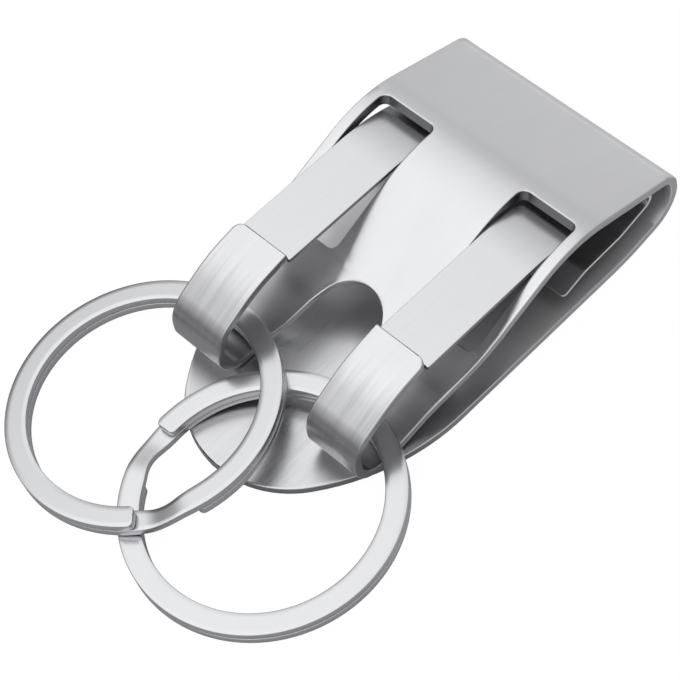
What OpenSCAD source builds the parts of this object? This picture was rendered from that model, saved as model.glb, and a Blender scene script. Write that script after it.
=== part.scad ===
/* [Body sheet] */
// Width of the clip, across the belt plate
clip_w = 32; // [29:0.5:36]
// Thickness of the body sheet
sheet_t = 1.1; // [0.9:0.05:1.3]
// Length of the flat back plate, from its nose to where it starts to lift
plate_len = 48.5; // [46:0.5:54]
// Length of the rounded nose of the back plate
nose_len = 22.8; // [20:0.2:25]
// Radius at the very tip of the nose
nose_tip_r = 12.5; // [11.5:0.1:13.5]
// Mid radius of the gentle lift before the fold
lift_r = 23; // [18:0.5:28]
// Turn of the gentle lift, in degrees
lift_turn = 12; // [8:0.5:15]
// Straight run from the lift to the heel
heel_run = 2.5; // [1.5:0.1:4]
// Mid radius of the heel of the fold
heel_r = 4; // [3.2:0.1:5]
// Turn of the heel, in degrees
heel_turn = 87; // [83:0.5:91]
// Straight run between the heel and the top of the fold
fold_run = 0.7; // [0.4:0.1:2]
// Mid radius of the top of the fold
fold_r = 2.4; // [2:0.1:3]
// Turn of the top of the fold, in degrees
fold_turn = 64; // [61:0.5:67]
// Straight run of the front plate, from the fold to the crest
front_run = 11.4; // [10:0.1:14]
// Mid radius of the crest
crest_r = 15; // [13:0.5:18]
// Turn over the crest, in degrees
crest_turn = 39; // [37:0.5:41]
// Straight run down from the crest to the knee
slope_run = 15.2; // [14:0.1:17]
// Mid radius of the knee, where the prongs turn down more steeply
knee_r = 12; // [9:0.5:14]
// Turn at the knee, in degrees
knee_turn = 12; // [10:0.5:14]

/* [Prongs and hooks] */
// Width of each hook
hook_w = 7.4; // [6.8:0.1:7.8]
// How far each hook's middle lies inwards of its window's middle
hook_inset = 0.05; // [0:0.05:0.3]
// Straight run of the prong below the knee
prong_run = 2.5; // [1.5:0.1:3]
// Mid radius of the bend that levels the prong out
sole_r = 7; // [6:0.5:8]
// Turn of that bend, in degrees
sole_turn = 28; // [26:0.5:29]
// Straight run of the sole, under the ring
sole_run = 2.4; // [2:0.1:4]
// Mid radius of the toe, at the bottom front of the hook
toe_r = 3.4; // [3:0.1:4]
// Turn of the toe, in degrees
toe_turn = 95.5; // [94:0.5:97]
// Straight upright run of the hook's front
toe_run = 0.9; // [0.3:0.1:2]
// Mid radius of the brow, at the top front of the hook
brow_r = 3.8; // [3.4:0.1:4.4]
// Turn of the brow, in degrees
brow_turn = 60.5; // [59:0.5:63]
// Straight run behind the brow
brow_run = 2.5; // [2:0.1:3.5]
// Mid radius of the flattening towards the tip
tip_r = 15; // [12:0.5:18]
// Turn of that flattening, in degrees
tip_turn = 18.5; // [17:0.5:20]
// Straight run at the hook's tip
tip_run = 2.8; // [2.2:0.1:3.6]
// Radius of the outer corner of each hook's tip
tip_corner_r = 1.2; // [0.8:0.1:2]

/* [Windows and notch] */
// Width of each window
window_w = 8; // [7.7:0.1:8.4]
// Width of the rail outside each window
rail_w = 1.45; // [1.2:0.05:1.8]
// Length of each window along the clip
window_len = 17.4; // [16:0.1:18.5]
// Distance from the start of the crest bend down to the window's top edge
window_set = 2.6; // [2:0.1:3.2]
// Corner radius of the windows
window_corner_r = 1; // [0.5:0.1:1.5]
// Height of the web between the window's bottom edge and the notch
web_neck = 0.8; // [0.4:0.1:3]
// Radius of the notch between the prongs
notch_r = 4.4; // [3.6:0.1:5]
// Length over which the outer edges narrow from the rails to the hooks
shoulder_len = 8; // [6:0.5:12]
// How far above the window's bottom edge the narrowing starts
shoulder_rise = 0.5; // [0.5:0.5:4]

/* [Gate spring] */
// Width of each gate finger
gate_w = 7.4; // [6.6:0.1:7.6]
// How far each finger's middle lies inwards of its window's middle
gate_inset = 0.05; // [0:0.05:0.2]
// Thickness of the gate spring sheet
gate_t = 0.6; // [0.4:0.05:0.7]
// Length of the seat, welded under the front plate
gate_seat_len = 8.2; // [6.5:0.1:8.8]
// Distance from the seat's end to the start of the crest
gate_set = 2; // [1.5:0.1:3]
// Mid radius of the two bends at the root of each finger
gate_bend_r = 2; // [1.5:0.1:2.5]
// Turn of the dip away from the plate, in degrees
gate_dip_turn = 25; // [22:1:28]
// Straight run of the dip
gate_dip_run = 2; // [1.5:0.1:2.4]
// Turn that lifts the finger into its window, in degrees
gate_lift_turn = 28; // [26:1:30]
// Mid radius of the finger's crown
gate_crown_r = 24; // [20:1:26]
// How far a finger's end reaches in under the hook's tip
gate_lap = 0.9; // [0.5:0.1:1.6]

/* [Belt spring] */
// Margin between the belt spring's sides and the clip's sides
leaf_margin = 0.7; // [0.5:0.1:2]
// Thickness of the belt spring sheet
leaf_t = 0.4; // [0.3:0.05:0.5]
// Length of its seat, welded under the gate spring
leaf_seat_len = 3.4; // [2.4:0.1:5]
// Mid radius of the hairpin that joins the leaf to its seat
leaf_root_r = 1; // [0.8:0.05:1.2]
// Turn of the hairpin, in degrees
leaf_root_turn = 147; // [145:0.5:149]
// Straight run below the hairpin
leaf_upper_run = 3.9; // [3:0.1:5]
// Mid radius of the bends on either side of the belt pad
leaf_pad_r = 4; // [3:0.1:6]
// Turn into the pad, in degrees
leaf_pad_turn = 13.5; // [12:0.5:15]
// Length of the pad
leaf_pad_run = 5.3; // [4.5:0.1:6]
// Turn out of the pad, in degrees
leaf_lip_turn = 15; // [12:0.5:18]
// Length of the lip at the free end
leaf_lip_run = 3.4; // [2.5:0.1:4]

/* [Split rings] */
// Outer diameter of a ring
ring_od = 32; // [31.4:0.2:33]
// Width of the flat wire
wire_w = 2.55; // [2.2:0.05:2.8]
// Thickness of the flat wire
wire_t = 0.94; // [0.8:0.02:0.96]
// Gap between the two turns of a ring
turn_gap = 0.1; // [0.05:0.01:0.12]
// Edge rounding of the wire
wire_edge_r = 0.22; // [0.1:0.02:0.3]
// Corner radius of the wire's cut ends
wire_end_r = 0.7; // [0.3:0.05:1]
// Angle between the two cut ends, in degrees
end_spread = 26; // [22:0.5:30]
// Angle that the crossover takes, in degrees
crank_sweep = 15; // [12:0.5:17]
// Distance from the left hook's toe to the middle of the wire behind it
left_ring_reach = 5.25; // [5.1:0.05:5.4]
// Distance from the right hook's toe to the middle of the wire behind it
right_ring_reach = 5.45; // [5.3:0.05:5.5]
// Sideways place of the left ring, measured outwards from its hook
left_ring_out = -0.2; // [-0.4:0.05:0.2]
// Sideways place of the right ring, measured outwards from its hook
right_ring_out = -2.45; // [-2.6:0.05:-2.3]

/* [Hidden] */
$fn = 96;

// Unit of all clearances, a small share of the sheet's thickness
fit_unit = sheet_t / 110;
// Clearance that stands for a spot-welded or lying contact
lay_gap = 3 * fit_unit;
// Clearance at the line where a spring stretch starts to bend
flex_gap = 10 * fit_unit;
// Overrun of every cutter past what it cuts
overrun = 200 * fit_unit;
// Angle between neighbouring facets round a bend, in degrees
bend_step = 3;
// Clearance between a gate finger's end and the hook's tip that stops it
stop_gap = 6 * fit_unit;
// Excess of the nose's tip arc, so that it crosses the side arcs at a slight angle
nose_blend = 2 * fit_unit;
// Share of its radius at which a corner rounding meets the edges, just short of tangent
corner_share = 0.97;
// Height of each ring's lowest point over the table: the right ring lies on the nose's rim,
// and the left one on the right one
left_rest_gap = 9 * fit_unit;
right_rest_gap = 12 * fit_unit;

// Tilts of the rings where they lie, in degrees: pitch lifts the side in the hook, roll the right side
left_ring_pitch = 4.99;
left_ring_roll = 6.33;
right_ring_pitch = 4.9;
right_ring_roll = 3.05;
// Angle of the upper cut end of each ring, in degrees
left_ring_end = -47;
right_ring_end = -177;

// Bend tables: straight run, mid radius of the bend after it, turn (positive turns up and back)
plate_runs = [[plate_len, lift_r, lift_turn], [heel_run, heel_r, heel_turn],
              [fold_run, fold_r, fold_turn]];
blank_runs = concat([plate_runs[0] + [overrun, 0, 0]], [plate_runs[1], plate_runs[2]]);
front_runs = [[front_run, crest_r, crest_turn], [slope_run, knee_r, knee_turn],
              [prong_run, sole_r, -sole_turn]];
hook_runs = [[sole_run, toe_r, -toe_turn], [toe_run, brow_r, -brow_turn],
             [brow_run, tip_r, -tip_turn], [tip_run, tip_r, 0]];
leaf_runs = [[0, leaf_root_r, -leaf_root_turn], [leaf_upper_run, leaf_pad_r, -leaf_pad_turn],
             [leaf_pad_run, leaf_pad_r, leaf_lip_turn], [leaf_lip_run, leaf_pad_r, 0]];

// A state is [y, z, heading]: a place on a sheet's middle line, and the way that the line runs there
function along(s, l) = [s.x + l * cos(s.z), s.y + l * sin(s.z), s.z];
function beside(s, d) = [s.x + d * sin(s.z), s.y - d * cos(s.z), s.z];
function bend_centre(s, r, a) = beside(s, -sign(a) * r);
function bent(s, r, a) = a == 0 ? s : beside(bend_centre(s, r, a) + [0, 0, a], sign(a) * r);
function run_end(s, run) = bent(along(s, run[0]), run[1], run[2]);
function after(s, runs, n) = n == 0 ? s : run_end(after(s, runs, n - 1), runs[n - 1]);

// States all along a bent strip: where it starts, and every few degrees round its bends
function bend_states(s, r, a) =
    let (n = max(1, ceil(abs(a) / bend_step)))
    [for (i = [0 : n]) bent(s, r, a * i / n)];
function run_states(s, run) =
    run[2] == 0 ? [along(s, run[0])] : bend_states(along(s, run[0]), run[1], run[2]);
function strip_states(s, runs) =
    concat([s], [for (i = [0 : len(runs) - 1]) each run_states(after(s, runs, i), runs[i])]);

nose_state = [-plate_len / 2, sheet_t / 2, 0];
front_state = after(nose_state, plate_runs, len(plate_runs));
crest_state = along(front_state, front_run);
knee_state = after(front_state, front_runs, 2);
hook_state = after(front_state, front_runs, len(front_runs));
toe_state = along(hook_state, sole_run);
toe_centre = bend_centre(toe_state, toe_r, -toe_turn);
tip_state = after(hook_state, hook_runs, len(hook_runs));

// Plan places of the cut-outs, and of the hooks and gates that follow them
window_x = clip_w / 2 - rail_w - window_w / 2;
hook_x = window_x - hook_inset;
gate_x = window_x - gate_inset;
window_top = crest_state.x - window_set;
window_bottom = window_top - window_len;
notch_centre_y = window_bottom - web_neck - notch_r;
shoulder_top = window_bottom + shoulder_rise;
hook_inner = hook_x - hook_w / 2;
hook_outer = hook_x + hook_w / 2;
hook_front = toe_centre.x - toe_r - overrun;
// Height that parts the prongs from the hooks' tips above them
eye_z = (knee_state.y + tip_state.y) / 2;

// Side arcs of the nose, tangent to the plate's sides and to the tip arc
nose_side_r = (pow(clip_w / 2, 2) + pow(nose_len - nose_tip_r, 2) - pow(nose_tip_r, 2))
    / (clip_w - 2 * nose_tip_r);
nose_side_x = nose_side_r - clip_w / 2;
nose_join = nose_tip_r / (nose_side_r - nose_tip_r);
nose_base_y = nose_state.x + nose_len;
nose_join_y = nose_state.x + nose_tip_r - nose_join * (nose_len - nose_tip_r);

// Gate spring: its seat lies under the front plate's straight run, its fingers dip and lift again
gate_drop = sheet_t / 2 + lay_gap + gate_t / 2;
gate_seat_start = beside(along(crest_state, -gate_set - gate_seat_len), -gate_drop);
gate_seat_runs = [[gate_seat_len, gate_bend_r, gate_dip_turn],
                  [gate_dip_run, gate_bend_r, -gate_lift_turn]];
gate_flex_state = after(gate_seat_start, gate_seat_runs, len(gate_seat_runs));

// A finger runs round its crown and then straight to the place where the hook's tip stops it
crown_state = along(gate_flex_state, flex_gap);
crown_centre = bend_centre(crown_state, gate_crown_r, 1);
gate_end = beside(along(tip_state, -gate_lap), sheet_t / 2 + stop_gap + gate_t / 2);
gate_reach = [gate_end.x - crown_centre.x, gate_end.y - crown_centre.y];
finger_run = sqrt(pow(norm(gate_reach), 2) - pow(gate_crown_r, 2));
finger_heading = atan2(gate_reach.y, gate_reach.x) + atan2(gate_crown_r, finger_run);
finger_runs = [[0, gate_crown_r, finger_heading - crown_state.z], [finger_run, gate_crown_r, 0]];

// Belt spring: its seat lies under the gate spring's seat, and its leaf turns back in the fold
leaf_w = clip_w - 2 * leaf_margin;
leaf_drop = gate_drop + gate_t / 2 + lay_gap + leaf_t / 2;
leaf_turn_state = beside(along(crest_state, leaf_root_r - gate_set - gate_seat_len), -leaf_drop);
leaf_seat_end = [leaf_turn_state.x, leaf_turn_state.y, leaf_turn_state.z - 180];
leaf_seat_start = along(leaf_seat_end, -leaf_seat_len);
leaf_flex_state = along(leaf_seat_end, flex_gap);

// Rings: two turns of flat wire round one middle circle
wire_mid_r = (ring_od - wire_w) / 2;
turn_pitch = wire_t + turn_gap;

module place(s) {
    translate([0, s.x, s.y]) rotate([s.z, 0, 0]) children();
}

// Draws a profile in the y-z plane and gives it a width along x
module side_profile(w) {
    rotate([90, 0, 90]) linear_extrude(w, center = true) children();
}

// A strip of sheet, bent by its table of runs
module strip(s, runs, t, w) {
    states = strip_states(s, runs);
    n = len(states);
    side_profile(w) polygon(concat(
        [for (q = states) let (e = beside(q, t / 2)) [e.x, e.y]],
        [for (i = [n - 1 : -1 : 0]) let (e = beside(states[i], -t / 2)) [e.x, e.y]]));
}

module plan_cut(bottom, top) {
    translate([0, 0, bottom]) linear_extrude(top - bottom) children();
}

// What is cut away beside the round nose
module nose_cut() {
    tip_r = nose_tip_r + nose_blend;
    difference() {
        translate([-clip_w / 2 - overrun, nose_state.x - 2 * overrun])
            square([clip_w + 2 * overrun, nose_len + 2 * overrun]);
        intersection() {
            translate([-nose_side_x, nose_base_y]) circle(nose_side_r);
            translate([nose_side_x, nose_base_y]) circle(nose_side_r);
            union() {
                translate([0, nose_state.x + tip_r]) circle(tip_r);
                translate([-clip_w, nose_join_y]) square([2 * clip_w, nose_len]);
            }
        }
    }
}

module window_shape() {
    w = window_w / 2 - window_corner_r;
    l = window_len - 2 * window_corner_r;
    translate([0, window_bottom + window_corner_r]) {
        translate([-w, -window_corner_r]) square([2 * w, window_len]);
        translate([-window_w / 2, 0]) square([window_w, l]);
        for (x = [-w, w], y = [0, l]) translate([x, y]) circle(window_corner_r);
    }
}

module windows() {
    for (side = [-1, 1]) translate([side * window_x, 0]) window_shape();
}

// What is cut away between and beside the prongs
module prong_gaps() {
    bottom = max(shoulder_top - shoulder_len, hook_state.x);
    translate([0, notch_centre_y]) circle(notch_r);
    polygon([[-notch_r, notch_centre_y], [notch_r, notch_centre_y],
             [hook_inner, hook_state.x], [hook_inner, hook_front],
             [-hook_inner, hook_front], [-hook_inner, hook_state.x]]);
    for (side = [-1, 1]) scale([side, 1])
        polygon([[clip_w / 2, shoulder_top], [clip_w / 2 + overrun, shoulder_top],
                 [clip_w / 2 + overrun, hook_front], [hook_outer, hook_front],
                 [hook_outer, bottom]]);
}

// What is cut away between and beside the upper parts of the hooks
module tip_gaps() {
    depth = tip_state.x + overrun - hook_front;
    translate([-hook_inner, hook_front]) square([2 * hook_inner, depth]);
    for (side = [-1, 1]) scale([side, 1])
        translate([hook_outer, hook_front]) square([clip_w / 2, depth]);
}

// The tip's outer corner is rounded; outwards is +x in the right hook
module tip_rounding(side) {
    out = side * hook_w / 2;
    corner = tip_corner_r * corner_share;
    translate([side * hook_x, 0, 0]) place(tip_state) translate([out, 0, 0]) scale([side, 1, 1])
        difference() {
            translate([-corner, -corner, -sheet_t])
                cube([corner + overrun, corner + overrun, 2 * sheet_t]);
            translate([-corner, -corner, -sheet_t - overrun])
                cylinder(r = tip_corner_r, h = 2 * (sheet_t + overrun));
        }
}

module clip_body() {
    top = crest_state.y + crest_r;
    color("silver") difference() {
        strip(along(nose_state, -overrun), concat(blank_runs, front_runs, hook_runs), sheet_t, clip_w);
        plan_cut(-overrun, sheet_t + lay_gap) nose_cut();
        plan_cut(sheet_t + lay_gap, top) windows();
        plan_cut(sheet_t + lay_gap, eye_z + lay_gap) prong_gaps();
        plan_cut(eye_z, top) tip_gaps();
        for (side = [-1, 1]) tip_rounding(side);
    }
}

module gate_spring_seat() {
    seat_w = 2 * gate_x + gate_w;
    color("lightgray") {
        strip(gate_seat_start, [[gate_seat_len, gate_bend_r, 0]], gate_t, seat_w);
        for (side = [-1, 1]) translate([side * gate_x, 0, 0])
            strip(gate_seat_start, gate_seat_runs, gate_t, gate_w);
    }
}

module gate(side) {
    color("lightgray") translate([side * gate_x, 0, 0])
        strip(crown_state, finger_runs, gate_t, gate_w);
}

module left_gate() {
    gate(-1);
}

module right_gate() {
    gate(1);
}

module belt_spring_seat() {
    color("gainsboro") strip(leaf_seat_start, [[leaf_seat_len, leaf_root_r, 0]], leaf_t, leaf_w);
}

module belt_spring_leaf() {
    color("gainsboro") strip(leaf_flex_state, leaf_runs, leaf_t, leaf_w);
}

// The wire of a split ring, swept round twice. The lower turn climbs over its own cut end at the crank.
ring_step = 5;
wire_sides = 12;
crank_steps = 8;
end_steps = 4;
// Share of the room left by the crossover that comes before it
crank_start_share = 0.62;
crank_start = 360 - end_spread + (end_spread - crank_sweep) * crank_start_share;
wire_sweep = 720 - end_spread;
// Share of its width that the wire loses at the crank
crank_narrow_share = 0.28;

function smooth(u) = let (v = min(max(u, 0), 1)) v * v * (3 - 2 * v);
function arc_mm(a) = a * wire_mid_r * PI / 180;
function arc_deg(d) = d * 180 / (wire_mid_r * PI);
function wire_rise(a) = turn_pitch * smooth((a - crank_start) / crank_sweep);
function end_trim(d) = d >= wire_end_r ? 0 : wire_end_r - sqrt(pow(wire_end_r, 2) - pow(wire_end_r - d, 2));
function wire_half(a) = wire_w / 2 - max(end_trim(arc_mm(a)), end_trim(arc_mm(wire_sweep - a)));
function crank_bite(a) =
    wire_w * crank_narrow_share * pow(sin(180 * min(max((a - crank_start) / crank_sweep, 0), 1)), 2);

// Corners of the rounded wire section, three to each corner, as [across, up] from its middle
function wire_section(half, thick) =
    [for (i = [0 : 3], j = [0 : 2])
        let (sx = i == 0 || i == 3 ? 1 : -1, sz = i < 2 ? 1 : -1, a = 90 * i + 45 * j)
        [sx * (half - wire_edge_r) + wire_edge_r * cos(a),
         sz * (thick / 2 - wire_edge_r) + wire_edge_r * sin(a)]];

// Angles round the two turns, closer together at the rounded ends and over the crank
end_angles = [for (i = [0 : end_steps]) arc_deg(wire_end_r * (1 - cos(90 * i / end_steps)))];
wire_angles = concat(
    end_angles,
    [for (a = [ring_step : ring_step : crank_start - ring_step]) a],
    [for (i = [0 : crank_steps]) crank_start + crank_sweep * i / crank_steps],
    [for (a = [360 : ring_step : wire_sweep - ring_step]) a],
    [for (i = [end_steps : -1 : 0]) wire_sweep - end_angles[i]]);

function wire_ring(a) =
    let (bite = crank_bite(a), half = wire_half(a) - bite / 2)
    [for (p = wire_section(max(half, wire_edge_r + lay_gap), wire_t))
        let (r = wire_mid_r + bite / 2 + p.x)
        [r * cos(a), r * sin(a), wire_t / 2 + wire_rise(a) + p.y]];

module split_ring_wire() {
    n = len(wire_angles);
    pts = [for (a = wire_angles) each wire_ring(a)];
    sides = [for (i = [0 : n - 2], j = [0 : wire_sides - 1])
        let (k = (j + 1) % wire_sides, a = i * wire_sides + j, b = i * wire_sides + k)
        each [[a, b, a + wire_sides], [b, b + wire_sides, a + wire_sides]]];
    last = (n - 1) * wire_sides;
    caps = [for (j = [1 : wire_sides - 2]) each [[0, j + 1, j], [last, last + j, last + j + 1]]];
    polyhedron(points = pts, faces = concat(sides, caps));
}

// A ring lies with one point over the table; its upper cut end is at end_angle
module lying_ring(x, eye_y, rest_gap, pitch, roll, end_angle) {
    tilt = acos(cos(pitch) * cos(roll));
    z = rest_gap + ring_od / 2 * sin(tilt);
    translate([x, eye_y - wire_mid_r, z]) rotate([pitch, -roll, 0])
        rotate([0, 0, end_angle + end_spread]) split_ring_wire();
}

toe_inner_y = toe_centre.x - (toe_r - sheet_t / 2);

module left_split_ring() {
    color("whitesmoke")
        lying_ring(-hook_x - left_ring_out, toe_inner_y + left_ring_reach, left_rest_gap,
                   left_ring_pitch, left_ring_roll, left_ring_end);
}

module right_split_ring() {
    color("whitesmoke")
        lying_ring(hook_x + right_ring_out, toe_inner_y + right_ring_reach, right_rest_gap,
                   right_ring_pitch, right_ring_roll, right_ring_end);
}

clip_body();
gate_spring_seat();
left_gate();
right_gate();
belt_spring_seat();
belt_spring_leaf();
left_split_ring();
right_split_ring();
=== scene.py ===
import math

import bmesh
import bpy
from mathutils import Matrix, Vector


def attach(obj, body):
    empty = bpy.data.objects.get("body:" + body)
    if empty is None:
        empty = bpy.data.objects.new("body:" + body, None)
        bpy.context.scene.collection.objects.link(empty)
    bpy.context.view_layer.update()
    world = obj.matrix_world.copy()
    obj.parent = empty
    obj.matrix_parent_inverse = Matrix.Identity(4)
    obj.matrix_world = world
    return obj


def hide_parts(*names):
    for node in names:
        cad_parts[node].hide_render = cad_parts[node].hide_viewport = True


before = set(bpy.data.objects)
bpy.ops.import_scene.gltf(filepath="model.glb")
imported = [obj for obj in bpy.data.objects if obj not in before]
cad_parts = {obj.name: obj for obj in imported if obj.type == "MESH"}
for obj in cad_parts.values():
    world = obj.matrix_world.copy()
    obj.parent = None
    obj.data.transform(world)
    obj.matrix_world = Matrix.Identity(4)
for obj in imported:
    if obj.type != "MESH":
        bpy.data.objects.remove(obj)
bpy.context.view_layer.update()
mm = 0.001


# Sheet paths: a state is (y, z, heading in degrees) on a sheet's middle line, in millimetres,
# and a run is (straight length, radius of the bend after it, turn of that bend in degrees)
def along(state, length):
    y, z, heading = state
    a = math.radians(heading)
    return (y + length * math.cos(a), z + length * math.sin(a), heading)


def beside(state, offset):
    y, z, heading = state
    a = math.radians(heading)
    return (y + offset * math.sin(a), z - offset * math.cos(a), heading)


def bent(state, radius, turn):
    if turn == 0:
        return state
    side = math.copysign(radius, turn)
    y, z, heading = beside(state, -side)
    return beside((y, z, heading + turn), side)


def stateAt(start, runs, v):
    state = start
    for run, radius, turn in runs:
        if v <= run:
            return along(state, v)
        state = along(state, run)
        v -= run
        arc = radius * math.radians(abs(turn))
        if turn and v <= arc:
            return bent(state, radius, turn * v / arc)
        state = bent(state, radius, turn)
        v -= arc
    return along(state, v)


def pathLength(runs):
    return sum(run + radius * math.radians(abs(turn)) for run, radius, turn in runs)


# Row places along a strip: fine round its bends, coarse on its straight runs
def pathRows(runs, bendStep, straightStep):
    rows = [0.0]
    for run, radius, turn in runs:
        arc = radius * math.radians(abs(turn))
        for length, count in ((run, run / straightStep), (arc, abs(turn) / bendStep)):
            if length > 0:
                base = rows[-1]
                n = max(1, math.ceil(count))
                rows += [base + length * (i + 1) / n for i in range(n)]
    return rows


# Rows in later lists win over earlier ones that lie too close
def mergeRows(*lists, gap=0.02):
    kept = []
    for rows in reversed(lists):
        kept += [v for v in rows if all(abs(v - k) > gap for k in kept)]
    return sorted(kept)


def nearestRow(rows, v):
    return rows.index(min(rows, key=lambda row: abs(row - v)))


# Value at v in a table of (place, value) rows, straight between them
def between(table, v):
    if v <= table[0][0]:
        return table[0][1]
    for (v0, x0), (v1, x1) in zip(table, table[1:]):
        if v <= v1:
            return x0 + (x1 - x0) * (v - v0) / (v1 - v0)
    return table[-1][1]


def smooth(u):
    u = min(max(u, 0.0), 1.0)
    return u * u * (3 - 2 * u)


# How far a rounded corner draws an edge in, at that distance from the corner's end
def cornerInset(distance, radius):
    if distance >= radius:
        return 0.0
    return radius - math.sqrt(max(radius ** 2 - (radius - distance) ** 2, 0.0))


def cornerRows(radius, steps=6):
    return [radius * (1 - math.cos(math.radians(90 * i / steps))) for i in range(steps + 1)]


# The same rows, counted back from the corner's end
def endRows(end, radius, steps=6):
    return [end - distance for distance in cornerRows(radius, steps)]


# Columns of a sheet's grid are functions that give x at a place v along the strip
def flipped(column):
    return lambda v: -column(v)


def straightColumn(x):
    return lambda v: x


def evenColumns(wide, count, inset=None):
    def column(share):
        return lambda v: share * (wide / 2 - (inset(v) if inset else 0))
    return [column(2 * i / count - 1) for i in range(count + 1)]


def stripBend(start, runs, middle=0.0):
    def bend(co):
        y, z, heading = beside(stateAt(start, runs, co.y), co.z)
        return Vector((co.x + middle, y, z))
    return bend


# Forming of every sheet: distances in millimetres, and the fold angle that counts as a rim
forming = {"weld": 0.004, "sliver": 0.003, "rimAngle": 60, "rimSegments": 2}


# A flat blank of sheet, punched, deburred round every rim and bent to shape
def buildSheet(name, columns, rows, keepCell, thick, rim, bend):
    bm = bmesh.new()
    wide, tall = len(columns) - 1, len(rows) - 1
    bmesh.ops.create_grid(bm, x_segments=wide, y_segments=tall, size=0.5)
    cut = []
    for face in bm.faces:
        c = face.calc_center_median()
        if not keepCell(int((c.x + 0.5) * wide), int((c.y + 0.5) * tall)):
            cut.append(face)
    bmesh.ops.delete(bm, geom=cut, context="FACES")
    for vert in bm.verts:
        v = rows[round((vert.co.y + 0.5) * tall)]
        vert.co = Vector((columns[round((vert.co.x + 0.5) * wide)](v), v, 0))
    bmesh.ops.remove_doubles(bm, verts=bm.verts[:], dist=forming["weld"])
    bmesh.ops.dissolve_degenerate(bm, dist=forming["sliver"], edges=bm.edges[:])
    bmesh.ops.solidify(bm, geom=bm.faces[:], thickness=thick)
    bmesh.ops.recalc_face_normals(bm, faces=bm.faces[:])
    low = min(vert.co.z for vert in bm.verts)
    bmesh.ops.translate(bm, verts=bm.verts[:], vec=(0, 0, -low - thick / 2))
    sharp = math.radians(forming["rimAngle"])
    rims = [e for e in bm.edges if len(e.link_faces) == 2 and e.calc_face_angle() > sharp]
    bmesh.ops.bevel(bm, geom=rims, offset=rim, segments=forming["rimSegments"], profile=0.5,
                    affect="EDGES", clamp_overlap=False, material=-1)
    flat = [vert.co.copy() for vert in bm.verts]
    for vert in bm.verts:
        vert.co = bend(vert.co) * mm
    bmesh.ops.recalc_face_normals(bm, faces=bm.faces[:])
    return finishPiece(name, bm, flat)


# The "blank" attribute keeps each point's place in the flat blank, for the steel's grain and its
# painted shade
def finishPiece(name, bm, flat):
    for face in bm.faces:
        face.smooth = True
    mesh = bpy.data.meshes.new(name)
    bm.to_mesh(mesh)
    bm.free()
    blank = mesh.attributes.new("blank", "FLOAT_VECTOR", "POINT")
    for i, co in enumerate(flat):
        blank.data[i].vector = co
    piece = bpy.data.objects.new(name, mesh)
    bpy.context.scene.collection.objects.link(piece)
    normals = piece.modifiers.new("normals", "WEIGHTED_NORMAL")
    normals.keep_sharp = True
    return piece


# Clip body: one strip of sheet, from the round nose over the fold to the hooks' tips
body = {
    "thick": 1.1, "rim": 0.13, "wide": 32.0, "plate": 48.5, "plateBend": (23, 12),
    "foldRuns": [(2.5, 4, 87), (0.7, 2.4, 64)],
    "frontRuns": [(11.4, 15, 39), (15.2, 12, 12), (2.5, 7, -28)],
    "hookRuns": [(2.4, 3.4, -95.5), (0.9, 3.8, -60.5), (2.5, 15, -18.5), (2.8, 15, 0)],
    "noseLength": 22.8, "noseTipRadius": 12.5,
    "hookWide": 7.4, "hookX": 10.5, "tipCorner": 1.2,
    "windowWide": 8.0, "windowX": 10.55, "windowLength": 17.4, "windowSet": 2.6,
    "windowCorner": 1.0, "neck": 0.8, "notchRadius": 4.4,
    # Outer rim from the rails down to the hooks, as (y, x)
    "shoulder": [(4.2, 16), (2.7, 15.93), (1.3, 15.8), (-1, 15.5), (-3.2, 15.18),
                 (-4.6, 14.85), (-6, 14.5), (-7.5, 14.28), (-8.7, 14.2)],
    # Crease lines as (y, x): beside the web between the windows, and along each rail
    "webCrease": [(12, 6.55), (11, 6.46), (10, 6.34), (8.6, 6.11), (6.9, 5.74), (5.1, 5.29),
                  (1.5, 4.31), (-0.2, 3.85), (-2, 3.4)],
    "railCrease": [(12, 14.6), (10.9, 14.8), (9.4, 15.13), (8, 15.4), (5.9, 15.74), (4, 15.9),
                   (1.5, 16.0)],
    "creaseHalf": 0.25, "creaseSlope": 0.25, "creaseDepth": 0.42, "creaseEnd": -4.2,
    "creaseFade": 2.0, "lip": 0.5, "lipWide": 0.4, "lipFade": 4.0,
    # Grid columns: shares of the half width on the nose, and x below the windows
    "noseShare": {"notch": 0.15, "web": 0.36, "inner": 0.45, "outer": 0.85, "rail": 0.92},
    "noseApart": {"web": 0.03, "rail": 0.02},
    "below": {"inner": {"notch": 7.6, "hook": 9.5, "tip": 9.5},
              "outer": {"window": 13.6, "notch": 12.6, "hook": 12.0, "tip": 11.6}},
    "windowLead": 1.0, "notchLead": 1.5, "notchLeadX": 2.2,
    # Least distances of the crease columns from the rims, and from each other
    "webClear": 0.55, "notchClear": 0.7, "webApart": 0.2,
    "railClear": 0.42, "edgeClear": 0.45, "railApart": 0.1, "railShare": 0.7,
    # Grid rows: degrees round bends and arcs, millimetres on straight runs
    "bendStep": 3, "straightStep": 2.0, "notchStep": 9,
    "noseTurn": 52, "noseStep": 4, "noseRows": 14, "noseGap": 0.5,
}
bodyStart = (-body["plate"] / 2, body["thick"] / 2, 0.0)
plateRuns = [(body["plate"], *body["plateBend"])] + body["foldRuns"]
bodyRuns = plateRuns + body["frontRuns"] + body["hookRuns"]
frontV = pathLength(plateRuns)
crestV = frontV + body["frontRuns"][0][0]
hookV = frontV + pathLength(body["frontRuns"])
bodyEnd = pathLength(bodyRuns)
half = body["wide"] / 2
crestY = stateAt(bodyStart, bodyRuns, crestV)[0]
hookY = stateAt(bodyStart, bodyRuns, hookV)[0]


# Place along the strip where the front plate is at that y
def frontPlace(y):
    low, high = frontV, hookV
    for _ in range(50):
        middle = (low + high) / 2
        if stateAt(bodyStart, bodyRuns, middle)[0] > y:
            low = middle
        else:
            high = middle
    return low


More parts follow.
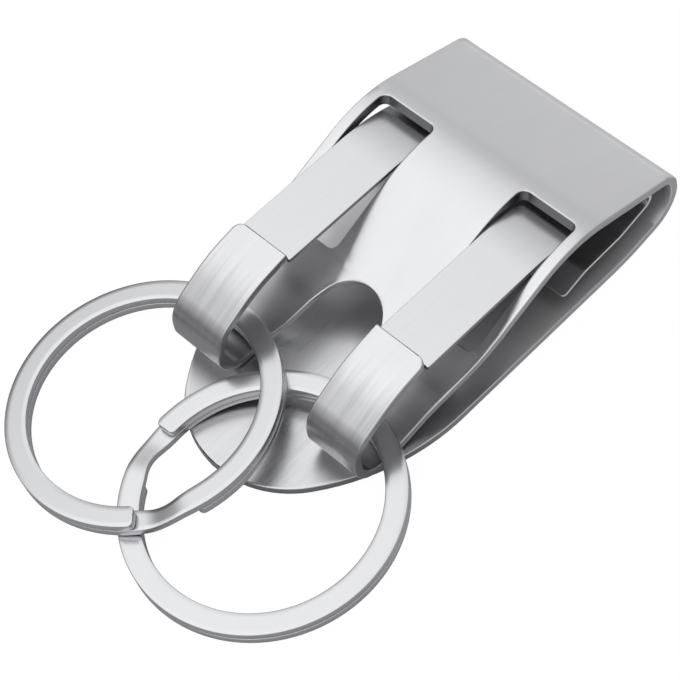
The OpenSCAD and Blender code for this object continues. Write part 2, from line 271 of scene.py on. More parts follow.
windowTop = crestY - body["windowSet"]
windowBottom = windowTop - body["windowLength"]
notchY = windowBottom - body["neck"] - body["notchRadius"]
windowV = (frontPlace(windowTop), frontPlace(windowBottom))
windowMiddle = sum(windowV) / 2
apexV = frontPlace(notchY + body["notchRadius"])
notchV = frontPlace(notchY)
pressEndV = frontPlace(body["creaseEnd"])
shoulder = [(frontPlace(y), x) for y, x in body["shoulder"]]
webCrease = [(frontPlace(y), x) for y, x in body["webCrease"]]
railCrease = [(frontPlace(y), x) for y, x in body["railCrease"]]
hookInner = body["hookX"] - body["hookWide"] / 2
# The notch's rim runs from its arc straight on to the hooks
notchReach = math.hypot(hookInner, hookY - notchY)
notchTurn = math.atan2(hookY - notchY, hookInner) + math.acos(body["notchRadius"] / notchReach)
notchTangent = (body["notchRadius"] * math.cos(notchTurn),
                body["notchRadius"] * math.sin(notchTurn))
# The nose's round tip runs on into a wider arc on each side
noseRise = body["noseLength"] - body["noseTipRadius"]
noseSideRadius = ((half ** 2 + noseRise ** 2 - body["noseTipRadius"] ** 2)
                  / (2 * (half - body["noseTipRadius"])))
noseJoin = (body["noseTipRadius"]
            - body["noseTipRadius"] / (noseSideRadius - body["noseTipRadius"]) * noseRise)


def outerEdge(v):
    if v < noseJoin:
        return math.sqrt(max(body["noseTipRadius"] ** 2 - (body["noseTipRadius"] - v) ** 2, 0))
    if v < body["noseLength"]:
        return half - noseSideRadius + math.sqrt(
            noseSideRadius ** 2 - (body["noseLength"] - v) ** 2)
    return between(shoulder, v) - cornerInset(bodyEnd - v, body["tipCorner"])


def notchEdge(v):
    noseShare = body["noseShare"]["notch"]
    if v < body["noseLength"]:
        return noseShare * outerEdge(v)
    if v < apexV:
        return between([(body["noseLength"], noseShare * half),
                        (apexV - body["notchLead"], body["notchLeadX"]), (apexV, 0)], v)
    if v >= hookV:
        return hookInner
    rise = stateAt(bodyStart, bodyRuns, v)[0] - notchY
    if rise > notchTangent[1]:
        return math.sqrt(max(body["notchRadius"] ** 2 - rise ** 2, 0))
    share = (notchTangent[1] - rise) / (notchTangent[1] - hookY + notchY)
    return notchTangent[0] + (hookInner - notchTangent[0]) * share


def windowInset(v):
    if windowV[0] <= v <= windowV[1]:
        return cornerInset(min(v - windowV[0], windowV[1] - v), body["windowCorner"])
    return 0.0


belowPlaces = {"window": windowV[1] + body["windowLead"], "notch": notchV, "hook": hookV,
               "tip": bodyEnd}


# Column along the windows' inner or outer rims, led on to the nose and to the hooks' tips
def windowColumn(side, label):
    noseShare, lead = body["noseShare"][label], body["windowLead"]
    rim = body["windowX"] + side * body["windowWide"] / 2
    table = [(body["noseLength"], noseShare * half), (windowV[0] - lead, rim - side * lead / 2),
             (windowV[0], rim), (windowV[1], rim)]
    table += [(belowPlaces[place], x) for place, x in body["below"][label].items()]

    def column(v):
        if v < body["noseLength"]:
            return noseShare * outerEdge(v)
        return between(table, v) - side * windowInset(v)
    return column


windowInner, windowOuter = windowColumn(-1, "inner"), windowColumn(1, "outer")


# Columns that follow the crease lines, kept between the sheet's rims
def webColumn(side):
    noseShare = body["noseShare"]["web"] + body["noseApart"]["web"] * side
    apart = body["webApart"] * side

    def column(v):
        if v < body["noseLength"]:
            return noseShare * outerEdge(v)
        x = min(between(webCrease, v) + side * body["creaseHalf"],
                windowInner(v) - body["webClear"] + apart)
        return max(x, notchEdge(v) + body["notchClear"] + apart)
    return column


def railColumn(side):
    noseShare = body["noseShare"]["rail"] + body["noseApart"]["rail"] * side

    def column(v):
        if v < body["noseLength"]:
            return noseShare * outerEdge(v)
        crease = between(railCrease, v) + side * body["creaseHalf"] * body["railShare"]
        x = min(max(crease, windowOuter(v) + body["railClear"]),
                outerEdge(v) - body["edgeClear"])
        return x + body["railApart"] * side
    return column


def innerColumn(v):
    return (notchEdge(v) + webColumn(-1)(v)) / 2


# How deep the sheet is pressed in round the windows, between the crease lines
def pressDepth(x, v):
    fade = (smooth((v - webCrease[0][0]) / body["creaseFade"])
            * smooth((pressEndV - v) / (pressEndV - windowV[1])))
    if fade == 0:
        return 0.0
    w = body["creaseHalf"]
    ramp = min(abs(x) - between(webCrease, v), between(railCrease, v) - abs(x),
               body["creaseDepth"] / body["creaseSlope"])
    if ramp < -w:
        return 0.0
    rise = (ramp + w) ** 2 / (4 * w) if ramp < w else ramp
    return rise * body["creaseSlope"] * fade


# How far the inner side of a window's upper rim is drawn down
def lipDepth(co):
    across = abs(co.x) - body["windowX"]
    dx = max(abs(across) - body["windowWide"] / 2, 0)
    reach = math.hypot(dx, max(windowV[0] - co.y, co.y - windowV[1], 0))
    if co.z > 0 or reach > body["lipWide"] or co.y > windowMiddle:
        return 0.0
    near = smooth((body["lipWide"] - reach) / body["lipWide"])
    return body["lip"] * near * smooth((windowMiddle - co.y) / body["lipFade"])


halfColumns = [notchEdge, innerColumn, webColumn(-1), webColumn(1), windowInner,
               windowOuter, railColumn(-1), railColumn(1), outerEdge]
bodyColumns = [flipped(c) for c in reversed(halfColumns)] + [straightColumn(0.0)] + halfColumns
noseRows = [body["noseTipRadius"] * (1 - math.cos(math.radians(a)))
            for a in range(0, body["noseTurn"], body["noseStep"])]
noseRows += [noseJoin + (body["noseLength"] - noseJoin) * i / body["noseRows"]
             for i in range(body["noseRows"] + 1)]
windowRows = [windowV[0] + distance for distance in cornerRows(body["windowCorner"])]
windowRows += endRows(windowV[1], body["windowCorner"])
notchRows = [frontPlace(notchY + body["notchRadius"] * math.cos(math.radians(a)))
             for a in range(0, 91, body["notchStep"])]
bendRows = [v for v in pathRows(bodyRuns, body["bendStep"], body["straightStep"])
            if v > body["noseLength"] + body["noseGap"]]
bodyRows = mergeRows(bendRows, noseRows, windowRows, notchRows,
                     endRows(bodyEnd, body["tipCorner"]))
windowCells = [nearestRow(bodyRows, v) for v in windowV]
apexCell = nearestRow(bodyRows, apexV)
windowSide = halfColumns.index(windowOuter)


# Cells are counted outwards from the middle. The windows and the notch are punched out
def keepBodyCell(column, row):
    middle = len(halfColumns)
    side = column - middle if column >= middle else middle - 1 - column
    if side == windowSide and windowCells[0] <= row < windowCells[1]:
        return False
    return side > 0 or row < apexCell


def bendBody(co):
    offset = co.z - pressDepth(co.x, co.y) - lipDepth(co)
    y, z, heading = beside(stateAt(bodyStart, bodyRuns, co.y), offset)
    return Vector((co.x, y, z))


bodySheet = buildSheet("bodySheet", bodyColumns, bodyRows, keepBodyCell, body["thick"],
                       body["rim"], bendBody)
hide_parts("clip_body")
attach(bodySheet, "clip")
print("clip body sheet built:", len(bodySheet.data.polygons), "faces")

# Gate spring: a seat under the front plate with the roots of two fingers, and the fingers,
# which come out through the windows and reach to the hooks' tips
gate = {
    "wide": 7.4, "x": 10.5, "thick": 0.6, "rim": 0.07, "seat": 8.2, "set": 2.0, "bend": 2.0,
    "dip": 25.0, "dipRun": 2.0, "lift": 28.0, "liftBend": 0.8, "crown": 24.0, "lap": 0.9,
    "stop": 0.06, "lay": 0.03, "flex": 0.1, "short": {"left": 0.85, "right": 0.6},
    "corner": 0.3, "cornerSteps": 4, "columns": 4,
    "seatBendStep": 2.5, "seatStep": 2.0, "fingerBendStep": 1.0, "fingerStep": 1.5,
}
crestState = stateAt(bodyStart, bodyRuns, crestV)
tipState = stateAt(bodyStart, bodyRuns, bodyEnd)
gateDrop = body["thick"] / 2 + gate["lay"] + gate["thick"] / 2
gateSeatStart = beside(along(crestState, -gate["set"] - gate["seat"]), -gateDrop)
liftMore = (gate["bend"] - gate["liftBend"]) * math.tan(math.radians(gate["lift"] / 2))
gateSeatRuns = [(gate["seat"], gate["bend"], gate["dip"]),
                (gate["dipRun"] + liftMore, gate["liftBend"], -gate["lift"]),
                (liftMore, gate["bend"], 0)]
crownState = along(stateAt(gateSeatStart, gateSeatRuns, pathLength(gateSeatRuns)), gate["flex"])
crownCentre = beside(crownState, -gate["crown"])
gateEnd = beside(along(tipState, -gate["lap"]),
                 body["thick"] / 2 + gate["stop"] + gate["thick"] / 2)
reachY, reachZ = gateEnd[0] - crownCentre[0], gateEnd[1] - crownCentre[1]
fingerRun = math.sqrt(reachY ** 2 + reachZ ** 2 - gate["crown"] ** 2)
fingerHeading = math.degrees(math.atan2(reachZ, reachY) + math.atan2(gate["crown"], fingerRun))

seatHalf = gate["x"] + gate["wide"] / 2
seatInner = gate["x"] - gate["wide"] / 2
seatColumns = [straightColumn(x) for x in (-seatHalf, -seatInner, seatInner, seatHalf)]
seatRows = pathRows(gateSeatRuns, gate["seatBendStep"], gate["seatStep"])
seatEnd = nearestRow(seatRows, gate["seat"])
gateSeat = buildSheet("gateSeat", seatColumns, seatRows, lambda c, r: c != 1 or r < seatEnd,
                      gate["thick"], gate["rim"], stripBend(gateSeatStart, gateSeatRuns))
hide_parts("gate_spring_seat")
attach(gateSeat, "clip")

for side, label in ((-1, "left"), (1, "right")):
    fingerRuns = [(0, gate["crown"], fingerHeading - crownState[2]),
                  (fingerRun - gate["short"][label], gate["crown"], 0)]
    fingerLength = pathLength(fingerRuns)
    fingerRows = mergeRows(pathRows(fingerRuns, gate["fingerBendStep"], gate["fingerStep"]),
                           endRows(fingerLength, gate["corner"], gate["cornerSteps"]))
    fingerColumns = evenColumns(gate["wide"], gate["columns"],
                                lambda v: cornerInset(fingerLength - v, gate["corner"]))
    finger = buildSheet(label + "GateFinger", fingerColumns, fingerRows, lambda c, r: True,
                        gate["thick"], gate["rim"],
                        stripBend(crownState, fingerRuns, side * gate["x"]))
    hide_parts(label + "_gate")
    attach(finger, label + "_gate_finger")
print("gate spring built, fingers end at heading", round(fingerHeading, 2), "degrees")

# Belt spring: a seat behind the gate spring's seat, and a leaf that turns back in the fold
leaf = {
    "wide": 30.6, "thick": 0.4, "rim": 0.05, "seat": 3.4, "seatRows": [0, 0.6, 1.2, 1.8],
    "runs": [(0, 1.0, -147.0), (3.9, 4, -13.5), (5.3, 4, 15), (3.4, 4, 0)],
    "corner": 0.6, "cornerSteps": 4, "columns": 8, "bendStep": 2.5, "straightStep": 0.9,
}
leafDrop = gateDrop + gate["thick"] / 2 + gate["lay"] + leaf["thick"] / 2
leafTurn = beside(along(crestState, leaf["runs"][0][1] - gate["set"] - gate["seat"]), -leafDrop)
leafSeatEnd = (leafTurn[0], leafTurn[1], leafTurn[2] - 180)
leafSeatStart = along(leafSeatEnd, -leaf["seat"])
leafStart = along(leafSeatEnd, gate["flex"])
leafLength = pathLength(leaf["runs"])
leafColumns = evenColumns(leaf["wide"], leaf["columns"],
                          lambda v: cornerInset(leafLength - v, leaf["corner"]))
leafRows = mergeRows(pathRows(leaf["runs"], leaf["bendStep"], leaf["straightStep"]),
                     endRows(leafLength, leaf["corner"], leaf["cornerSteps"]))
leafSeat = buildSheet("leafSeat", evenColumns(leaf["wide"], leaf["columns"]),
                      leaf["seatRows"] + [leaf["seat"]], lambda c, r: True, leaf["thick"],
                      leaf["rim"], stripBend(leafSeatStart, [(leaf["seat"], 1, 0)]))
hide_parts("belt_spring_seat")
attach(leafSeat, "clip")
beltLeaf = buildSheet("beltLeaf", leafColumns, leafRows, lambda c, r: True,
                      leaf["thick"], leaf["rim"], stripBend(leafStart, leaf["runs"]))
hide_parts("belt_spring_leaf")
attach(beltLeaf, "belt_leaf")
print("belt spring built")

# Split rings: a straight flat wire with rounded ends, coiled twice round. A lay is how far a
# ring hangs inwards of its hook and back from the toe, its height, its tilts and its end's angle
ring = {
    "od": 32.0, "wide": 2.55, "thick": 0.94, "gap": 0.1, "rim": 0.09, "endSpread": 26.0,
    "crank": 20.0, "crankEase": 0.3, "crankShare": 0.62, "narrow": 0.17, "narrowMore": 5.0,
    "endCorner": 0.7, "cornerSteps": 5, "columns": 4, "step": 2.0,
    "lays": {
        "left": {"side": -1, "inwards": 0.2, "back": 5.25, "rest": 0.09, "pitch": 4.99,
                 "roll": 6.33, "endAngle": -47},
        "right": {"side": 1, "inwards": 2.45, "back": 5.45, "rest": 0.12, "pitch": 4.9,
                  "roll": 3.05, "endAngle": -177},
    },
}
ringRadius = (ring["od"] - ring["wide"]) / 2
ringSweep = 720 - ring["endSpread"]
crankStart = 360 - ring["endSpread"] + (ring["endSpread"] - ring["crank"]) * ring["crankShare"]
wireLength = math.radians(ringSweep) * ringRadius
hookCurl = body["hookRuns"][0]
toeState = along(stateAt(bodyStart, bodyRuns, hookV), hookCurl[0])
toeInnerY = beside(toeState, hookCurl[1])[0] - hookCurl[1] + body["thick"] / 2


def wireInset(v):
    return cornerInset(min(v, wireLength - v), ring["endCorner"])


# How far the inner edge of the wire is drawn in round the crank
def wireBite(angle):
    more = ring["narrowMore"]
    u = min(max((angle - crankStart + more) / (ring["crank"] + 2 * more), 0), 1)
    return ring["wide"] * ring["narrow"] * math.sin(math.pi * u) ** 2


# Share of the crank's rise, a straight slope with eased ends
def crankRise(angle):
    u = min(max((angle - crankStart) / ring["crank"], 0), 1)
    ease = ring["crankEase"]
    near = min(u, 1 - u)
    rise = (near ** 2 / (2 * ease) if near < ease else near - ease / 2) / (1 - ease)
    return rise if u < 0.5 else 1 - rise


def coil(co):
    angle = math.degrees(co.y / ringRadius)
    rise = (ring["thick"] + ring["gap"]) * crankRise(angle)
    share = co.x / ring["wide"] + 0.5
    radius = ringRadius + co.x + wireBite(angle) * (1 - share)
    a = math.radians(angle)
    return Vector((radius * math.cos(a), radius * math.sin(a),
                   co.z + ring["thick"] / 2 + rise))


def layRing(side, inwards, back, rest, pitch, roll, endAngle):
    tilt = math.acos(math.cos(math.radians(pitch)) * math.cos(math.radians(roll)))
    place = Matrix.Translation((side * (body["hookX"] - inwards), toeInnerY + back - ringRadius,
                                rest + ring["od"] / 2 * math.sin(tilt)))
    rolled = Matrix.Rotation(math.radians(-roll), 4, "Y")
    pitched = Matrix.Rotation(math.radians(pitch), 4, "X")
    spin = Matrix.Rotation(math.radians(endAngle + ring["endSpread"]), 4, "Z")
    whole = place @ (rolled @ pitched) @ spin
    return lambda co: whole @ coil(co)


wireSteps = math.ceil(ringSweep / ring["step"])
wireRows = mergeRows([wireLength * i / wireSteps for i in range(wireSteps + 1)],
                     cornerRows(ring["endCorner"], ring["cornerSteps"]),
                     endRows(wireLength, ring["endCorner"], ring["cornerSteps"]))
wireColumns = evenColumns(ring["wide"], ring["columns"], wireInset)
for label, lay in ring["lays"].items():
    wire = buildSheet(label + "RingWire", wireColumns, wireRows, lambda c, r: True,
                      ring["thick"], ring["rim"], layRing(**lay))
    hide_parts(label + "_split_ring")
    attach(wire, label + "_ring")
print("split rings built")

# Grain of the steel, and its painted shade. A pair gives the places in the flat blank, in
# millimetres, where a mark starts and where it is full. Those of the streaks, the prong, the
# inside, the toe and hollowEnd count from StreakFrom, and those of slotTop and slotEnd from
# SlotFrom
grainAndShade = {
    "bump": 0.3, "bumpHeight": 0.00002, "noiseRough": 0.65, "toneSwing": 0.35,
    "lineStretch": (1.0, 0.03, 1.0), "lineDetail": 4.0,
    "cloudStretch": (1.0, 0.4, 1.0), "cloudScale": 0.22, "cloudDetail": 2.0,
    "streakLead": 3, "streaks": (0.0, 4.0), "noseStreaks": (26.0, 20.0), "rimShare": 0.6,
    # Front, prong, inside and toe place the painted shade in the hook; the slot entries place the
    # painted shade on the windows' top walls
    "front": (0.0, 0.2), "prong": (-3.0, 1.0), "prongShade": 0.8,
    "inside": (5.0, 8.0), "insideMore": 0.6,
    "toe": (8.0, 11.0), "toeEnd": (22.0, 13.0), "toeLines": -12.0,
    "hollow": (26.0, 32.0), "hollowEnd": (0.0, -4.0),
    "slotTop": (-0.3, 0.0), "slotEnd": (7.0, 2.0), "slotInner": (5.8, 6.3),
    "slotOuter": (15.2, 14.8),
}


# Steel that keeps the grain of the flat blank it was cut from, with duller sheared edges, and
# painted shade in the hooks and at the windows' top walls
def steelMaterial(name, look):
    material = bpy.data.materials.new(name)
    material.use_nodes = True
    nodes, links = material.node_tree.nodes, material.node_tree.links
    nodes.clear()
    out = nodes.new("ShaderNodeOutputMaterial")
    shader = nodes.new("ShaderNodeBsdfPrincipled")
    shader.inputs["Metallic"].default_value = 1.0
    links.new(shader.outputs[0], out.inputs["Surface"])
    group = nodes.new("ShaderNodeGroup")
    group.node_tree = grainShadeGroup
    for label, value in look.items():
        colour = label in ("Colour", "EdgeColour")
        group.inputs[label].default_value = (*value, 1) if colour else value
    bump = nodes.new("ShaderNodeBump")
    bump.inputs["Strength"].default_value = grainAndShade["bump"]
    bump.inputs["Distance"].default_value = grainAndShade["bumpHeight"]
    links.new(group.outputs["Colour"], shader.inputs["Base Color"])
    links.new(group.outputs["Roughness"], shader.inputs["Roughness"])
    links.new(group.outputs["Height"], bump.inputs["Height"])
    links.new(bump.outputs["Normal"], shader.inputs["Normal"])
    return material


def makeGrainShadeGroup():
    tree = bpy.data.node_groups.new("steelGrainAndShade", "ShaderNodeTree")
    for label in ("Colour", "EdgeColour"):
        tree.interface.new_socket(name=label, in_out="INPUT", socket_type="NodeSocketColor")
    for label in ("Rough", "EdgeRough", "Grain", "Brushed", "Soft", "WallHalf", "RimWide",
                  "StreakFrom", "StreakMore", "NoseMore", "CurlShade", "Inner", "SlotFrom",
                  "SlotShade"):
        tree.interface.new_socket(name=label, in_out="INPUT", socket_type="NodeSocketFloat")
    for label, kind in (("Colour", "NodeSocketColor"), ("Roughness", "NodeSocketFloat"),
                        ("Height", "NodeSocketFloat")):
        tree.interface.new_socket(name=label, in_out="OUTPUT", socket_type=kind)
    nodes, links = tree.nodes, tree.links
    given = nodes.new("NodeGroupInput").outputs
    result = nodes.new("NodeGroupOutput").inputs
    blank = nodes.new("ShaderNodeAttribute")
    blank.attribute_name = "blank"
    split = nodes.new("ShaderNodeSeparateXYZ")
    links.new(blank.outputs["Vector"], split.inputs[0])
    blankX, blankY, blankZ = split.outputs

    def maths(operation, a, b=0.0, clamp=False):
        node = nodes.new("ShaderNodeMath")
        node.operation = operation
        node.use_clamp = clamp
        for socket, value in zip(node.inputs, (a, b)):
            if isinstance(value, (int, float)):
                socket.default_value = value
            else:
                links.new(value, socket)
        return node.outputs[0]

    def plus(a, b):
        return maths("ADD", a, b)

    def minus(a, b):
        return maths("SUBTRACT", a, b)

    def times(a, b):
        return maths("MULTIPLY", a, b)

    def ramp(value, limits):
        low, high = limits
        return maths("DIVIDE", minus(value, low), high - low, True)

    def noise(stretch, scale, detail):
        mapping = nodes.new("ShaderNodeMapping")
        mapping.inputs["Scale"].default_value = stretch
        links.new(blank.outputs["Vector"], mapping.inputs["Vector"])
        texture = nodes.new("ShaderNodeTexNoise")
        texture.inputs["Detail"].default_value = detail
        texture.inputs["Roughness"].default_value = grainAndShade["noiseRough"]
        links.new(mapping.outputs[0], texture.inputs["Vector"])
        if isinstance(scale, float):
            texture.inputs["Scale"].default_value = scale
        else:
            links.new(scale, texture.inputs["Scale"])
        return minus(texture.outputs["Fac"], 0.5)

    def toned(colour, value):
        tone = nodes.new("ShaderNodeHueSaturation")
        links.new(colour, tone.inputs["Color"])
        links.new(value, tone.inputs["Value"])
        return tone.outputs["Color"]

    lines = noise(grainAndShade["lineStretch"], given["Grain"], grainAndShade["lineDetail"])
    clouds = noise(grainAndShade["cloudStretch"], grainAndShade["cloudScale"], grainAndShade["cloudDetail"])
    fromStreaks = minus(blankY, given["StreakFrom"])
    streaks = times(ramp(fromStreaks, grainAndShade["streaks"]), given["StreakMore"])
    noseStreaks = times(ramp(blankY, grainAndShade["noseStreaks"]), given["NoseMore"])
    brushed = times(given["Brushed"], plus(1.0, plus(streaks, noseStreaks)))
    swing = plus(times(lines, brushed), times(clouds, given["Soft"]))
    links.new(times(lines, brushed), result["Height"])

    # Painted shade: the prong, the toe and the inside of the curl are darkened, standing in for
    # the shade and dark reflections that fall there
    front = ramp(blankZ, grainAndShade["front"])
    behind = minus(1.0, front)
    prong = ramp(fromStreaks, grainAndShade["prong"])
    inside = plus(1.0, times(ramp(fromStreaks, grainAndShade["inside"]), grainAndShade["insideMore"]))
    toe = times(ramp(fromStreaks, grainAndShade["toe"]),
                ramp(plus(fromStreaks, times(lines, grainAndShade["toeLines"])), grainAndShade["toeEnd"]))
    paintedShade = plus(times(times(front, grainAndShade["prongShade"]), times(prong, inside)),
                times(behind, toe))
    faceTone = toned(given["Colour"], times(minus(1.0, times(swing, grainAndShade["toneSwing"])),
                                            minus(1.0, times(paintedShade, given["CurlShade"]))))

    # Painted shade: the walls at the top of the windows are darkened below the outer edges,
    # standing in for the shade inside the fold
    fromSlot = minus(blankY, given["SlotFrom"])
    across = maths("ABSOLUTE", blankX)
    slotWall = times(times(ramp(fromSlot, grainAndShade["slotTop"]), ramp(fromSlot, grainAndShade["slotEnd"])),
                     times(ramp(across, grainAndShade["slotInner"]), ramp(across, grainAndShade["slotOuter"])))
    wallTone = toned(given["EdgeColour"], minus(1.0, times(slotWall, given["SlotShade"])))

    # The sheet's inner side is rougher in the fold, and its sheared walls have their own look
    hollow = times(behind, times(ramp(blankY, grainAndShade["hollow"]),
                                 ramp(fromStreaks, grainAndShade["hollowEnd"])))
    faceRough = plus(plus(given["Rough"], swing), times(hollow, given["Inner"]))
    wall = minus(given["WallHalf"], maths("ABSOLUTE", blankZ))
    edge = maths("DIVIDE", minus(wall, times(given["RimWide"], grainAndShade["rimShare"])),
                 times(given["RimWide"], 1 - grainAndShade["rimShare"]), True)
    rough = nodes.new("ShaderNodeMix")
    rough.data_type = "FLOAT"
    links.new(edge, rough.inputs["Factor"])
    links.new(faceRough, rough.inputs[2])
    links.new(given["EdgeRough"], rough.inputs[3])
    links.new(rough.outputs[0], result["Roughness"])
    shade = nodes.new("ShaderNodeMix")
    shade.data_type = "RGBA"
    links.new(edge, shade.inputs["Factor"])
    links.new(faceTone, shade.inputs[6])
    links.new(wallTone, shade.inputs[7])
    links.new(shade.outputs[2], result["Colour"])
    return tree


grainShadeGroup = makeGrainShadeGroup()
unmarked = dict.fromkeys(("StreakFrom", "StreakMore", "NoseMore", "CurlShade", "Inner", "SlotFrom",
                          "SlotShade"), 0.0)
looks = {
    "bodySheet": {"Colour": (0.62, 0.62, 0.63), "EdgeColour": (0.33, 0.335, 0.35),
                  "Rough": 0.3, "EdgeRough": 0.36, "Grain": 2.6, "Brushed": 0.08, "Soft": 0.08,
                  "WallHalf": body["thick"] / 2, "RimWide": body["rim"],
                  "StreakFrom": hookV - grainAndShade["streakLead"], "StreakMore": 0.8, "NoseMore": 1.5,
                  # Painted shade in the prong and the hook's curl, and on the windows' top walls,
                  # is set here
                  "CurlShade": 0.32, "Inner": 0.2, "SlotFrom": windowV[0], "SlotShade": 0.5},
    "gateSheet": {"Colour": (0.64, 0.64, 0.65), "EdgeColour": (0.22, 0.22, 0.24),
                  "Rough": 0.26, "EdgeRough": 0.4, "Grain": 4.0, "Brushed": 0.07, "Soft": 0.05,
                  "WallHalf": gate["thick"] / 2, "RimWide": gate["rim"], **unmarked},
    "leafSheet": {"Colour": (0.6, 0.6, 0.61), "EdgeColour": (0.6, 0.6, 0.61),
                  "Rough": 0.25, "EdgeRough": 0.3, "Grain": 3.0, "Brushed": 0.08, "Soft": 0.05,
                  "WallHalf": leaf["thick"] / 2, "RimWide": leaf["rim"], **unmarked},
    "ringWire": {"Colour": (0.59, 0.59, 0.6), "EdgeColour": (0.6, 0.6, 0.62),
                 "Rough": 0.21, "EdgeRough": 0.3, "Grain": 6.0, "Brushed": 0.05, "Soft": 0.04,
                 "WallHalf": ring["thick"] / 2, "RimWide": ring["rim"], **unmarked},
}
steels = {name: steelMaterial(name + "Steel", look) for name, look in looks.items()}
for pieceName, node, lookName in (("bodySheet", "clip_body", "bodySheet"),
                                  ("gateSeat", "gate_spring_seat", "gateSheet"),
                                  ("leftGateFinger", "left_gate", "gateSheet"),
                                  ("rightGateFinger", "right_gate", "gateSheet"),
                                  ("leafSeat", "belt_spring_seat", "leafSheet"),
                                  ("beltLeaf", "belt_spring_leaf", "leafSheet"),
                                  ("leftRingWire", "left_split_ring", "ringWire"),
                                  ("rightRingWire", "right_split_ring", "ringWire")):
    bpy.data.objects[pieceName].data.materials.append(steels[lookName])
    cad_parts[node].data.materials.clear()
    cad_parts[node].data.materials.append(steels[lookName])
print("materials made")

# Floor and light. Ways are directions, and ramps are (from, to, value at from, value at to)
studio = {
    "floorSize": 1.2, "floorZ": -0.00003, "floorTone": (0.42, 0.42, 0.43), "floorGlow": 1.045,
    "floorWhite": 0.94, "gleamWay": (0.7, 0.7, 0), "gleamFloor": (0.0, 0.025, 0.06, 0.55),
    "skyTone": (0.99, 0.995, 1), "skyWhite": 1.0, "gleamWhite": 0.06,
    "softboxWay": (-0.43, -0.45, 0.78), "softbox": (-0.1, 1.0, 0.42, 1.5),
    "darkSide": (-0.92, -0.58, 0.08, 1.0), "horizon": (0.0, 0.4, 0.2, 1.0),
    "noseWay": (-0.43, -0.9, 0.05), "noseDark": (0.55, 0.95, 1.0, 0.45),
    "backWay": (-0.35, 0.93, 0.1), "backLight": (0.9, 1.0, 0.0, 0.8),
}


def facing(tree, direction, way):
    dot = tree.nodes.new("ShaderNodeVectorMath")
    dot.operation = "DOT_PRODUCT"
    dot.inputs[1].default_value = way
    tree.links.new(direction, dot.inputs[0])
    return dot.outputs["Value"]


def easedRamp(tree, value, limits):
    ramp = tree.nodes.new("ShaderNodeMapRange")
    ramp.interpolation_type = "SMOOTHSTEP"
    for i, limit in enumerate(limits):
        ramp.inputs[i + 1].default_value = limit
    tree.links.new(value, ramp.inputs[0])
    return ramp.outputs[0]


# Shares of a white backdrop that camera rays and gleams in the metal see
def whiteShare(tree, cameraShare, gleamShare):
    rays = tree.nodes.new("ShaderNodeLightPath")
    total = None
    for label, share in (("Is Camera Ray", cameraShare), ("Is Glossy Ray", gleamShare),
                         ("Is Transmission Ray", gleamShare)):
        part = tree.nodes.new("ShaderNodeMath")
        part.operation = "MULTIPLY_ADD"
        if isinstance(share, float):
            part.inputs[1].default_value = share
        else:
            tree.links.new(share, part.inputs[1])
        part.inputs[2].default_value = 0.0
        tree.links.new(rays.outputs[label], part.inputs[0])
        if total:
            tree.links.new(total, part.inputs[2])
        total = part.outputs[0]
    return total


def showMixed(tree, out, share, plain, white):
    mix = tree.nodes.new("ShaderNodeMixShader")
    tree.links.new(share, mix.inputs["Fac"])
    tree.links.new(plain.outputs[0], mix.inputs[1])
    tree.links.new(white.outputs[0], mix.inputs[2])
    tree.links.new(mix.outputs[0], out.inputs["Surface"])


floorMesh = bmesh.new()
bmesh.ops.create_grid(floorMesh, x_segments=1, y_segments=1, size=studio["floorSize"] / 2)
bmesh.ops.translate(floorMesh, verts=floorMesh.verts[:], vec=(0, 0, studio["floorZ"]))
floorData = bpy.data.meshes.new("floor")
floorMesh.to_mesh(floorData)
floorMesh.free()
floor = bpy.data.objects.new("floor", floorData)
bpy.context.scene.collection.objects.link(floor)
floorMaterial = bpy.data.materials.new("paleFloor")
floorMaterial.use_nodes = True
floorData.materials.append(floorMaterial)
floorTree = floorMaterial.node_tree
floorTree.nodes.clear()
floorOut = floorTree.nodes.new("ShaderNodeOutputMaterial")
floorDull = floorTree.nodes.new("ShaderNodeBsdfDiffuse")
floorDull.inputs["Color"].default_value = (*studio["floorTone"], 1)
floorGlow = floorTree.nodes.new("ShaderNodeEmission")
floorGlow.inputs["Color"].default_value = (1, 1, 1, 1)
floorGlow.inputs["Strength"].default_value = studio["floorGlow"]
floorPlace = floorTree.nodes.new("ShaderNodeTexCoord").outputs["Object"]
floorGleam = easedRamp(floorTree, facing(floorTree, floorPlace, studio["gleamWay"]),
                       studio["gleamFloor"])
showMixed(floorTree, floorOut, whiteShare(floorTree, studio["floorWhite"], floorGleam),
          floorDull, floorGlow)

world = bpy.data.worlds.new("studio")
bpy.context.scene.world = world
world.use_nodes = True
sky = world.node_tree
sky.nodes.clear()
worldOut = sky.nodes.new("ShaderNodeOutputWorld")
whiteSky = sky.nodes.new("ShaderNodeBackground")
whiteSky.inputs["Color"].default_value = (1, 1, 1, 1)
softSky = sky.nodes.new("ShaderNodeBackground")
softSky.inputs["Color"].default_value = (*studio["skyTone"], 1)
direction = sky.nodes.new("ShaderNodeTexCoord").outputs["Generated"]
skySplit = sky.nodes.new("ShaderNodeSeparateXYZ")
sky.links.new(direction, skySplit.inputs[0])


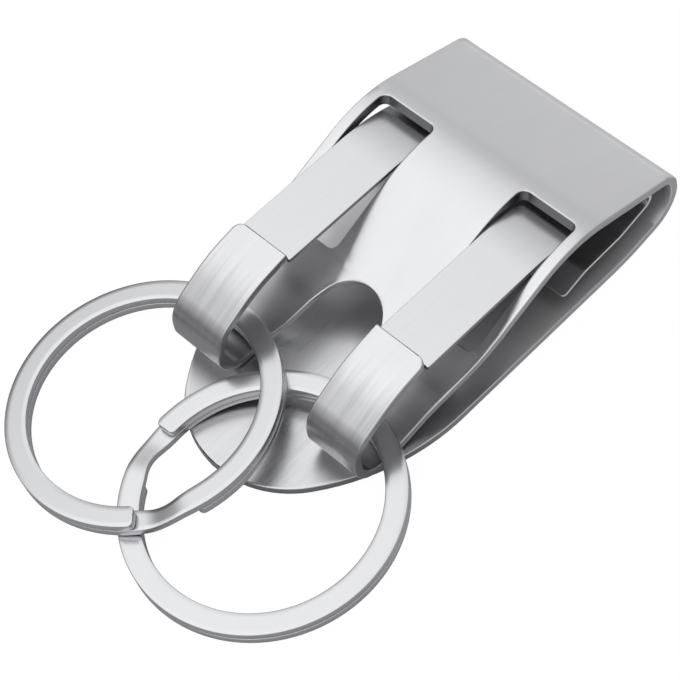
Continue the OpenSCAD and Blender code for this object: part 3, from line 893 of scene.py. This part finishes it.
def skyMaths(operation, a, b):
    node = sky.nodes.new("ShaderNodeMath")
    node.operation = operation
    sky.links.new(a, node.inputs[0])
    sky.links.new(b, node.inputs[1])
    return node.outputs[0]


softbox = easedRamp(sky, facing(sky, direction, studio["softboxWay"]), studio["softbox"])
backLight = easedRamp(sky, facing(sky, direction, studio["backWay"]), studio["backLight"])
noseDark = easedRamp(sky, facing(sky, direction, studio["noseWay"]), studio["noseDark"])
darkSide = easedRamp(sky, skySplit.outputs["X"], studio["darkSide"])
horizon = easedRamp(sky, skySplit.outputs["Z"], studio["horizon"])
topLight = skyMaths("MULTIPLY", skyMaths("MULTIPLY", softbox, darkSide),
                    skyMaths("MULTIPLY", horizon, noseDark))
sky.links.new(skyMaths("ADD", topLight, backLight), softSky.inputs["Strength"])
showMixed(sky, worldOut, whiteShare(sky, studio["skyWhite"], studio["gleamWhite"]),
          softSky, whiteSky)

# Camera: its focal length is in pixels of the picture, its sensor in millimetres
lens = {
    "azimuth": 50.66, "elevation": 56.56, "roll": -8.0, "distance": 0.24827, "near": 0.01,
    "target": (-0.00157, -0.00304, 0.0), "focal": 2180.0, "pixels": 680.0, "sensor": 36.0,
}
azimuth, elevation = math.radians(lens["azimuth"]), math.radians(lens["elevation"])
back = Vector((math.sin(azimuth) * math.cos(elevation),
               -math.cos(azimuth) * math.cos(elevation), math.sin(elevation)))
right = Vector((math.cos(azimuth), math.sin(azimuth), 0))
up = back.cross(right)
roll = math.radians(lens["roll"])
rolledRight = right * math.cos(roll) + up * math.sin(roll)
rolledUp = up * math.cos(roll) - right * math.sin(roll)
basis = Matrix((rolledRight, rolledUp, back)).transposed().to_4x4()
cameraData = bpy.data.cameras.new("photoCamera")
cameraData.sensor_width = lens["sensor"]
cameraData.lens = lens["focal"] * lens["sensor"] / lens["pixels"]
cameraData.clip_start = lens["near"]
camera = bpy.data.objects.new("photoCamera", cameraData)
camera.matrix_world = Matrix.Translation(Vector(lens["target"]) + back * lens["distance"]) @ basis
bpy.context.scene.collection.objects.link(camera)
bpy.context.scene.camera = camera
bpy.context.scene.view_settings.view_transform = "Standard"
print("studio ready")
